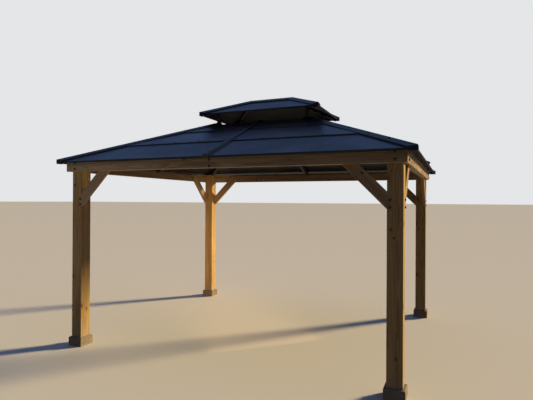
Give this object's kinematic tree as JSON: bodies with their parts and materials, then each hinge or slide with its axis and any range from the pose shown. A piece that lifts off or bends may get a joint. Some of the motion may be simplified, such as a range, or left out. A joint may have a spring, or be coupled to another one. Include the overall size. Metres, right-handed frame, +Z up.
{
  "type": "pergola pavilion with two-tier hip roof",
  "caption": "Open-sided timber garden pavilion with posts, knee braces, doubled beams and a lapped sheet-metal hip roof with a raised, vented top roof.",
  "frame": {"origin": "on the ground, in the middle of the four posts", "axes": "+X along the long front from left to right, +Y from front to rear, +Z up; the long front faces -Y"},
  "size_m": [4.0334, 3.4434, 3.0882],
  "materials": {
    "stained_timber": "honey-brown stain, satin",
    "roof_metal": "dark bronze-black powder coat, satin"
  },
  "bodies": {
    "root": {"base_trim_front_left": "stained_timber", "base_trim_front_right": "stained_timber", "base_trim_rear_left": "stained_timber", "base_trim_rear_right": "stained_timber", "brace_front_beam_left": "stained_timber", "brace_front_beam_right": "stained_timber", "brace_left_beam_front": "stained_timber", "brace_left_beam_rear": "stained_timber", "brace_rear_beam_left": "stained_timber", "brace_rear_beam_right": "stained_timber", "brace_right_beam_front": "stained_timber", "brace_right_beam_rear": "stained_timber", "cupola_covers": "roof_metal", "cupola_hip_rafters": "stained_timber", "cupola_ridge_board": "stained_timber", "cupola_roof_sheets": "roof_metal", "cupola_struts": "stained_timber", "front_beam_inner_ply": "stained_timber", "front_beam_outer_ply": "stained_timber", "hip_covers": "roof_metal", "hip_rafter_front_left": "stained_timber", "hip_rafter_front_right": "stained_timber", "hip_rafter_rear_left": "stained_timber", "hip_rafter_rear_right": "stained_timber", "left_beam_inner_ply": "stained_timber", "left_beam_outer_ply": "stained_timber", "mid_rafters": "stained_timber", "mid_slope_covers": "roof_metal", "opening_ring_long_boards": "stained_timber", "opening_ring_short_boards": "stained_timber", "post_front_left": "stained_timber", "post_front_right": "stained_timber", "post_rear_left": "stained_timber", "post_rear_right": "stained_timber", "purlins_front_and_rear": "stained_timber", "purlins_right_and_left": "stained_timber", "rear_beam_inner_ply": "stained_timber", "rear_beam_outer_ply": "stained_timber", "right_beam_inner_ply": "stained_timber", "right_beam_outer_ply": "stained_timber", "roof_sheets_front": "roof_metal", "roof_sheets_left": "roof_metal", "roof_sheets_rear": "roof_metal", "roof_sheets_right": "roof_metal"}
  },
  "joints": []
}
